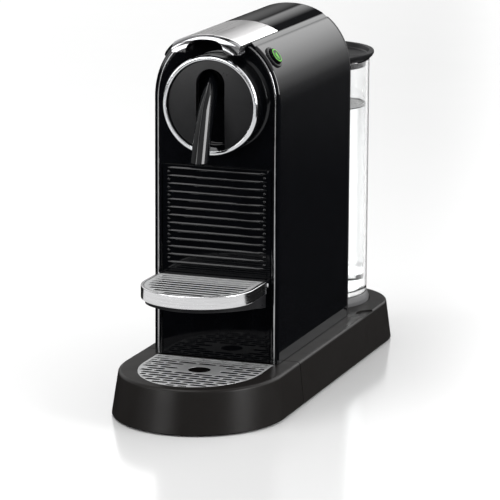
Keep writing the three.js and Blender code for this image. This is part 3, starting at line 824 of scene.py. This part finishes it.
def base_front():
    shell = base_body("front_base")
    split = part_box("drip_tray")[1]
    keep(shell, block("half", (-80 * MM, -200 * MM, -1 * MM), (80 * MM, SPLIT_REAR - 0.6 * MM, 40 * MM)))
    tub = flat_plate("tub", [d_loop(rear=-85.2 * MM, inset=-2 * MM, **TRAY)], "z", 5.3 * MM, 32 * MM)
    space = flat_plate("space", [d_loop(rear=-88.5 * MM, inset=1.8 * MM, **TRAY)], "z", 7.5 * MM, 40 * MM)
    seat = flat_plate("seat", [d_loop(rear=-87.2 * MM, inset=-0.3 * MM, **TRAY)], "z", 30 * MM, 40 * MM)
    behind = block("behind", (-BAY_HALF, -85 * MM, 9.8 * MM), (BAY_HALF, 0, 40 * MM))
    tongue = block("tongue", (-39 * MM, -90 * MM, 5.4 * MM), (39 * MM, split.y, 9.6 * MM))
    add(shell, tub)
    cut(shell, space, seat, behind)
    add(shell, tongue)
    soften(shell, 0.5 * MM, 2, 50)
    finish_piece(shell, BASE, "drawer", "drip_tray")


def drip_grid():
    low, high = TRAY_GRID_LOW, TRAY_GRID_HIGH
    rim = d_loop(rear=high.y, **TRAY)
    drain = circle(0, DRAIN_Y, 8.3 * MM, 64)
    loops = [rim, drain]
    pitch_y, pitch_x, half = 5.9 * MM, 15.6 * MM, 7.1 * MM
    margin = 1.3 * MM
    for row in range(14):
        y = high.y - 3.5 * MM - pitch_y * row
        reach = d_half_width(TRAY, y, margin)
        if reach < half:
            continue
        shift = pitch_x / 2 * (row % 2)
        for column in range(-4, 5):
            x = column * pitch_x + shift
            left, right = max(x - half, -reach), min(x + half, reach)
            if right - left < 4.6 * MM or near_drain(left, right, y):
                continue
            loops.append(pill((left + right) / 2, y, (right - left) / 2, 2.1 * MM, 5))
    grid = flat_plate("drain_plate", loops, "z", high.z - 0.3 * MM, high.z, 0.06 * MM, 1)
    lip = [d_loop(rear=high.y, **TRAY), d_loop(rear=high.y - 1.1 * MM, inset=1.1 * MM, **TRAY)]
    skirt = flat_plate("skirt", lip, "z", low.z, high.z - 0.15 * MM)
    add(grid, skirt)
    finish_piece(grid, STEEL, "drain_grid", "drip_grid")


def d_half_width(plan, y, margin):
    """Half the width of a d_loop's plan at y, less a margin."""
    share = (plan["centre"] - y) / (plan["centre"] - plan["front"] - margin)
    return (plan["half"] - margin) * math.sqrt(1 - min(1, max(0, share)) ** 2)


def near_drain(left, right, y):
    """Whether a slot from left to right would come too close to the drain hole."""
    nearest = min(max(0, left), right)
    return math.hypot(nearest, y - DRAIN_Y) < 11 * MM


# ---- Pull-out front and cup support ------------------------------------------------------------
def ribbed_front():
    low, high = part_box("ribbed_front")
    foot, top = low.z, high.z
    half, inner_half = 42.4 * MM, 39.3 * MM
    outline = [(-half, foot), (half, foot), (half, top), (-half, top)]
    panel = flat_plate("bin_front", [outline], "y", -84.6 * MM, -81 * MM, 0.5 * MM)
    inner = [(-inner_half, foot + 1 * MM), (inner_half, foot + 1 * MM),
             (inner_half, top - 0.5 * MM), (-inner_half, top - 0.5 * MM)]
    add(panel, flat_plate("raised", [inner], "y", PANEL_Y, -83 * MM, 0.15 * MM))
    for side in (-1, 1):
        lug = arc(HINGE_Y, HINGE_Z, 3.15 * MM, 90, 270, 20) + [
            (-83 * MM, HINGE_Z - 3.15 * MM), (-83 * MM, HINGE_Z + 3.15 * MM)]
        add(panel, flat_plate("lug", [lug, circle(HINGE_Y, HINGE_Z, 1.8 * MM, 32)],
                              "x", *sorted((side * 39.95 * MM, side * 42.15 * MM))))
    soften(panel, 0.2 * MM, 2, 50)
    finish_piece(panel, PANEL, "drawer", "ribbed_front")

    rib_count, top_rib, pitch = 13, 174.8 * MM, 5.9 * MM
    for i in range(rib_count):
        rib = rib_bar("rib_%02d" % i, 39.0 * MM, PANEL_Y, top_rib - pitch * i)
        finish_piece(rib, GLOSS, "drawer", sharp=60)
    for i in range(rib_count - 1):
        z = top_rib - pitch * (i + 0.5)
        for name, side in (("left", -1), ("right", 1)):
            stud = along_y(turned("stud_%s_%02d" % (name, i), dome_profile(1.35 * MM), 24), z, PANEL_Y)
            finish_piece(shift(stud, side * 37.4 * MM), GLOSS, "drawer")


def dome_profile(radius):
    """A low dome whose top points to the front once it is laid along Y."""
    profile = [(0, 0.3 * MM), (radius, 0.3 * MM)]
    profile += [(radius * math.cos(a), -radius * 0.95 * math.sin(a))
                for a in angles(math.pi / 2, 6)[:-1]]
    return profile + [(0, -radius * 0.95)]


def rib_bar(name, half, front, z):
    """A thin ridge with a rounded top and tapered ends."""
    rings = []
    steps = 44
    for i in range(steps + 1):
        u = -1 + 2 * i / steps
        x = half * math.sin(u * math.pi / 2)
        taper = max(0.08, 1 - abs(x / half) ** 24)
        tall, deep = 1.15 * MM * taper, 1.12 * MM * taper
        ring = [(x, front + 0.4 * MM, z + tall), (x, front, z + tall)]
        ring += [(x, front - deep * math.sin(a), z + tall * math.cos(a))
                 for a in angles(math.pi, 10)[1:-1]]
        ring += [(x, front, z - tall), (x, front + 0.4 * MM, z - tall)]
        rings.append(ring)
    return loft(name, rings)


def cup_support():
    low, high = BAND_LOW, BAND_HIGH
    rear = high.y
    thick = 2.15 * MM
    round_edge = 0.7 * MM
    levels = [(0, low.z + round_edge), (0, high.z - round_edge)]
    levels += [(round_edge * (1 - math.cos(a)), high.z - round_edge + round_edge * math.sin(a))
               for a in angles(math.pi / 2, 4)[1:]]
    levels += [(thick, high.z), (thick, low.z)]
    levels += [(round_edge * (1 - math.sin(a)), low.z + round_edge - round_edge * math.cos(a))
               for a in angles(math.pi / 2, 4)[:-1]]
    tracks = [d_path(rear, inset) for inset, _ in levels]
    rings = [[(*track[i], z) for track, (_, z) in zip(tracks, levels)] for i in range(len(tracks[0]))]
    finish_piece(loft("bright_band", rings), BAND, "cup_support", "cup_band")

    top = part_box("cup_grid")[1].z
    loops = [d_loop(rear=rear, inset=2.5 * MM, **CUP)]
    for i in range(9):
        y = rear - 4.4 * MM - 6.6 * MM * i
        half = d_half_width(CUP, y, 5.5 * MM)
        if half > 8 * MM:
            loops.append(pill(0, y, half, 2.3 * MM, 6))
    grid = flat_plate("cup_slats", loops, "z", top - 0.35 * MM, top, 0.06 * MM, 1)
    lip = [d_loop(rear=rear, inset=2.5 * MM, **CUP), d_loop(rear=rear - 1.6 * MM, inset=4.1 * MM, **CUP)]
    add(grid, flat_plate("lip", lip, "z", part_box("cup_grid")[0].z, top - 0.15 * MM))
    finish_piece(grid, STEEL, "cup_support", "cup_grid")
    cup_tray()


def d_path(rear, inset, steps=72):
    """The cup support's outline from its right rear corner round the front to the left one."""
    half = CUP["half"] - inset
    depth = CUP["centre"] - CUP["front"] - inset
    points = [(half, rear + (CUP["centre"] - rear) * k / 3) for k in range(3)]
    points += [(half * math.cos(a), CUP["centre"] - depth * math.sin(a))
               for a in angles(math.pi, steps)]
    return points + [(-half, rear + (CUP["centre"] - rear) * (2 - k) / 3) for k in range(3)]


def cup_tray():
    """The black tray under the grid, hollow above and sloping up to its front below, with its pin."""
    low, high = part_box("cup_tray")
    rear = high.y
    tray = flat_plate("cup_tray_body", [d_loop(rear=rear, inset=3.15 * MM, **CUP)], "z",
                      low.z, 92 * MM, 0.6 * MM)
    wedge = [(-200 * MM, 50 * MM), (-200 * MM, 84.4 * MM), (-150 * MM, 84.4 * MM)]
    wedge += [(-150 * MM + 60 * MM * k / 10, 84.4 * MM - 8.6 * MM * (k / 10) ** 1.6) for k in range(1, 10)]
    wedge += [(-80 * MM, 74.6 * MM), (-80 * MM, 50 * MM)]
    space = flat_plate("space", [d_loop(rear=-94.6 * MM, inset=5 * MM, **CUP)], "z", 86.5 * MM, 100 * MM)
    pin = flat_plate("pin", [circle(HINGE_Y, HINGE_Z, 1.8 * MM, 32)], "x", -60 * MM, 60 * MM)
    barrel = block("barrel", (-39.4 * MM, -94.2 * MM, 86 * MM), (39.4 * MM, rear - 0.05 * MM, 96.6 * MM))
    cut(tray, flat_plate("wedge", [wedge], "x", -60 * MM, 60 * MM))
    add(tray, barrel)
    cut(tray, space, pin)
    soften(tray, 0.4 * MM, 2, 50)
    finish_piece(tray, SATIN, "cup_support", "cup_tray")
    pin_low, pin_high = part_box("cup_hinge_pin")
    hinge_rod = flat_plate("hinge_rod", [circle(HINGE_Y, HINGE_Z, 1.5 * MM, 48)], "x",
                           pin_low.x, pin_high.x, 0.3 * MM)
    finish_piece(hinge_rod, STEEL, "drawer", "cup_hinge_pin")


# ---- Tank --------------------------------------------------------------------------------------
def tank():
    wall = 2.2 * MM
    bottom, top = TANK_LOW.z, TANK_HIGH.z
    inner = TANK_R - wall
    profile = [(4 * MM, bottom), (TANK_R - 1.2 * MM, bottom), (TANK_R - 0.35 * MM, bottom + 0.35 * MM),
               (TANK_R, bottom + 1.2 * MM), (TANK_R, top - 0.5 * MM), (TANK_R - 0.5 * MM, top),
               (inner + 0.4 * MM, top), (inner, top - 0.4 * MM), (inner, bottom + 4.5 * MM),
               (inner - 0.5 * MM, bottom + 3.4 * MM), (inner - 1.5 * MM, bottom + 3 * MM),
               (4 * MM, bottom + 3 * MM)]
    finish_piece(shift(turned("tank_glass", profile, 192), 0, TANK_Y), CLEAR, "tank", "tank_wall")

    level, side, floor = 191 * MM, inner - 0.25 * MM, bottom + 3.4 * MM
    body = [(0, 49.8 * MM), (8 * MM, 49.8 * MM), (8 * MM, floor), (side - 2 * MM, floor),
            (side, floor + 2.2 * MM), (side, level + 1.1 * MM), (side - 0.5 * MM, level + 0.45 * MM),
            (side - 1.6 * MM, level), (0, level)]
    filling = shift(turned("tank_water", body, 192), 0, TANK_Y)
    finish_piece(filling, WATER, "tank")

    foot_low, foot_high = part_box("tank_foot")
    foot_r = foot_high.x
    ring = [(38 * MM, foot_low.z), (foot_r, foot_low.z), (foot_r, foot_high.z - 5 * MM),
            (foot_r - 0.3 * MM, foot_high.z - 3.6 * MM), (TANK_R + 0.5 * MM, foot_high.z - 0.4 * MM),
            (TANK_R, foot_high.z), (38 * MM, foot_high.z)]
    finish_piece(shift(turned("tank_ring", ring, 160), 0, TANK_Y), GREY, "tank", "tank_foot")

    rim_r, high = LID_HIGH.x, LID_HIGH.z
    under = top + 0.3 * MM
    neck = inner - 0.4 * MM
    lid = [(0, under), (neck - 2.6 * MM, under), (neck - 2.6 * MM, top - 5.5 * MM),
           (neck - 0.6 * MM, top - 5.5 * MM), (neck, top - 4.9 * MM), (neck, under),
           (rim_r - 3.4 * MM, under), (rim_r - 1.0 * MM, under + 2.2 * MM), (rim_r, under + 4.0 * MM),
           (rim_r, high - 1.2 * MM), (rim_r - 0.4 * MM, high - 0.4 * MM), (rim_r - 1.2 * MM, high),
           (rim_r - 2.8 * MM, high), (rim_r - 3.6 * MM, high - 0.5 * MM),
           (rim_r - 4.6 * MM, high - 3.4 * MM), (rim_r - 5.4 * MM, high - 4 * MM), (0, high - 4 * MM)]
    finish_piece(shift(turned("tank_cap", lid, 160), 0, TANK_Y), SATIN, "lid", "tank_lid")


# ---- Small pieces ------------------------------------------------------------------------------
def feet():
    for row in ("front", "rear"):
        for name in ("left", "right"):
            node = "foot_%s_%s" % (row, name)
            low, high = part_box(node)
            radius = (high.x - low.x) / 2
            profile = [(0, low.z), (radius - 0.5 * MM, low.z), (radius, low.z + 0.5 * MM),
                       (radius, high.z), (0, high.z)]
            foot = turned("rubber_" + node, profile, 64)
            shift(foot, (low.x + high.x) / 2, (low.y + high.y) / 2)
            finish_piece(foot, RUBBER, "housing", node)


def gland():
    low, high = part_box("cord_gland")
    middle_z = (low.z + high.z) / 2
    profile = [(3.6 * MM, low.y), (7.4 * MM, low.y), (7.8 * MM, low.y + 0.4 * MM),
               (7.8 * MM, low.y + 2.2 * MM), (6.1 * MM, low.y + 2.2 * MM), (6.1 * MM, high.y - 0.6 * MM),
               (5.5 * MM, high.y), (4.2 * MM, high.y), (3.6 * MM, high.y - 0.6 * MM)]
    finish_piece(along_y(turned("cord_outlet", profile, 64), middle_z), RUBBER, "housing", "cord_gland")


def inner_parts():
    """Each CAD node takes its slot's material; the ones nothing replaces are the pieces inside."""
    slot_of_node = {part["node"]: part["material_slot"] for part in frame["record"]["subparts"]}
    for name, node in frame["nodes"].items():
        node.data.materials.clear()
        node.data.materials.append(SLOTS[slot_of_node[name]])


# ---- Floor, light and camera -------------------------------------------------------------------
def studio():
    floor = flat_plate("studio_floor", [[(-6, -6), (6, -6), (6, 6), (-6, 6)]], "z", -0.02, 0.0)
    paint = new_material("studio_floor", (0.7, 0.7, 0.7), IOR=1.5)
    spread(paint, object_noise(paint, 3), 0.13, 0.17, "Roughness")
    floor.data.materials.append(paint)
    floor.visible_glossy = False
    bpy.context.scene.view_settings.view_transform = "Standard"


def sky():
    """The studio: a soft dome, dark below the horizon and in a strip behind, with a white backdrop."""
    world = bpy.data.worlds.new("studio")
    bpy.context.scene.world = world
    world.use_nodes = True
    nodes, links = world.node_tree.nodes, world.node_tree.links
    direction = nodes.new("ShaderNodeTexCoord")
    parts = nodes.new("ShaderNodeSeparateXYZ")
    # how bright the dome is along each axis, as (component of the direction, level) pairs
    by_height = ((-1, 0.003), (-0.19, 0.004), (-0.08, 0.05), (0.05, 0.22), (0.16, 0.5), (0.3, 0.8),
                 (0.4, 0.9), (1, 0.35))
    by_side = ((-1, 0.5), (-0.5, 0.4), (-0.34, 0.22), (-0.275, 0.03), (-0.25, 0.42), (-0.2, 0.3),
               (-0.12, 0.015), (0.03, 0.015), (0.08, 1.0), (1, 0.9))
    by_depth = ((-1, 0.3), (-0.2, 0.3), (0.3, 1.0), (1, 1.0))
    dome = nodes["Background"]
    dome.inputs["Strength"].default_value = 2.6
    links.new(direction.outputs["Generated"], parts.inputs["Vector"])
    result = None
    for axis, levels in (("Z", by_height), ("X", by_side), ("Y", by_depth)):
        spread_out = add_node(nodes, "ShaderNodeMapRange", From_Min=-1)
        ramp = add_ramp(nodes, [((value + 1) / 2, (level,) * 3) for value, level in levels])
        links.new(parts.outputs[axis], spread_out.inputs["Value"])
        links.new(spread_out.outputs["Result"], ramp.inputs["Fac"])
        if result is None:
            result = ramp.outputs["Color"]
            continue
        product = nodes.new("ShaderNodeVectorMath")
        product.operation = "MULTIPLY"
        links.new(result, product.inputs[0])
        links.new(ramp.outputs["Color"], product.inputs[1])
        result = product.outputs["Vector"]
    backdrop = add_node(nodes, "ShaderNodeBackground", Color=(1, 1, 1, 1))
    path = nodes.new("ShaderNodeLightPath")
    seen = nodes.new("ShaderNodeMath")
    seen.operation = "MAXIMUM"
    choice = nodes.new("ShaderNodeMixShader")
    links.new(result, dome.inputs["Color"])
    links.new(path.outputs["Is Camera Ray"], seen.inputs[0])
    links.new(path.outputs["Is Transmission Ray"], seen.inputs[1])
    links.new(seen.outputs["Value"], choice.inputs["Fac"])
    links.new(dome.outputs["Background"], choice.inputs[1])
    links.new(backdrop.outputs["Background"], choice.inputs[2])
    links.new(choice.outputs["Shader"], nodes["World Output"].inputs["Surface"])


def softbox(name, place, target, size, power):
    light = bpy.data.lights.new(name, "AREA")
    light.shape = "RECTANGLE"
    light.size, light.size_y = size
    light.energy = power
    lamp = scene_object(name, light)
    lamp.location = place
    direction = Vector(target) - Vector(place)
    lamp.rotation_euler = direction.to_track_quat("-Z", "Y").to_euler()
    return lamp


def lights():
    softbox("top_box", (-0.4, -0.6, 1.8), (0, 0, 0.1), (1.3, 1.3), 22)
    softbox("left_box", (-1.5, -1.1, 0.9), (0, 0, 0.15), (0.4, 1.2), 6)
    softbox("right_box", (1.7, -0.3, 0.6), (0, 0, 0.1), (0.8, 0.8), 20)
    softbox("front_box", (-0.75, -1.5, 0.5), (0, 0, 0.15), (0.8, 0.7), 8)
    back_box = softbox("back_box", (-0.6, 3.4, 1.0), (-0.4, 0, 0.2), (6.5, 2.2), 48)
    light_only(back_box, "studio_floor")
    front_card = softbox("front_card", (-0.55, -0.75, 0.001), (-0.55, -0.75, 1), (2.2, 1.62), 9)
    crown_box = softbox("crown_box", (0.2, 1.6, 1.1), (0, 0, 0.28), (0.8, 0.8), 6)
    light_only(crown_box, "silver_plate")
    light_only(front_card, "bright_band", "bright_ring", "trim_line")


def light_only(lamp, *names):
    """Makes a lamp shine on the named pieces alone."""
    chosen = bpy.data.collections.new(lamp.name + "_receivers")
    for name in names:
        chosen.objects.link(bpy.data.objects[name])
    lamp.light_linking.receiver_collection = chosen


def camera():
    azimuth, elevation, roll = math.radians(19.82), math.radians(12.37), math.radians(0.3)
    back = Vector((math.sin(azimuth) * math.cos(elevation), -math.cos(azimuth) * math.cos(elevation),
                   math.sin(elevation)))
    right = Vector((math.cos(azimuth), math.sin(azimuth), 0))
    up = back.cross(right)
    across = right * math.cos(roll) + up * math.sin(roll)
    upward = up * math.cos(roll) - right * math.sin(roll)
    place = Vector((-4.21 * MM, 0, 97.81 * MM)) + back * 2.36036
    data = bpy.data.cameras.new("camera")
    data.sensor_width = 36
    data.lens = 222.74
    data.clip_end = 50
    view = scene_object("camera", data)
    view.matrix_world = Matrix.Translation(place) @ Matrix((across, upward, back)).transposed().to_4x4()
    bpy.context.scene.camera = view


inner_parts()
side_shells()
front_trim()
front_frame()
rear_cover()
drum()
spout()
lever()
keys()
base_rear()
base_front()
drip_grid()
ribbed_front()
cup_support()
tank()
feet()
gland()
studio()
sky()
lights()
camera()
